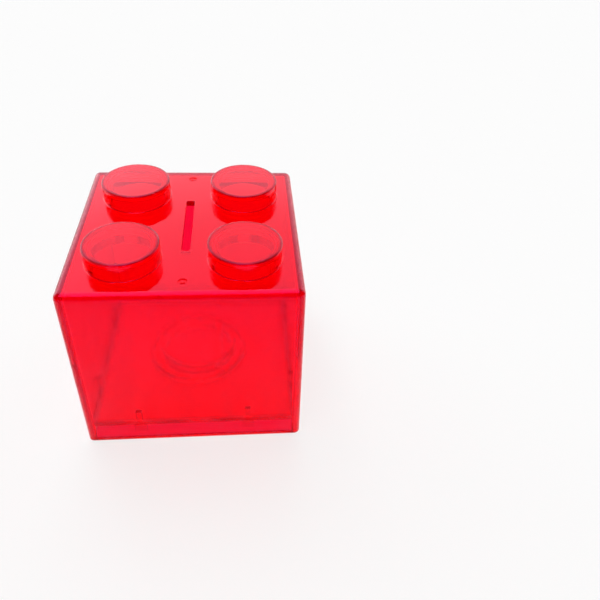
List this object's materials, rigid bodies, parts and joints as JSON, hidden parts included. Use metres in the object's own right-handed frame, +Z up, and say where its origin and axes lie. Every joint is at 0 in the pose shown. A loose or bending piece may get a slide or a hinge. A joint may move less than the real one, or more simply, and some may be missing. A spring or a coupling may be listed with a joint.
{
  "type": "donation box",
  "caption": "Clear coloured plastic donation box shaped like a building block, with a coin slot between round studs in its roof and a pull-out stopper in its base plate.",
  "frame": {"origin": "centre of the rim that the box stands on, which is the bottom centre of its bounding box", "axes": "+Z up through the roof, Y along the coin slot, -Y towards the face seen in front"},
  "size_m": [0.08, 0.08, 0.077],
  "materials": {
    "shell_plastic": "polished",
    "base_plastic": "polished",
    "stopper_plastic": "polished"
  },
  "bodies": {
    "box": {"body_shell": "shell_plastic", "base_plate": "base_plastic"},
    "stopper": {"stopper": "stopper_plastic"}
  },
  "joints": [
    {"name": "stopper_pull", "type": "slide", "parent": "box", "child": "stopper", "axis": [0, 0, -1], "range_m": [0, 0.02]}
  ]
}
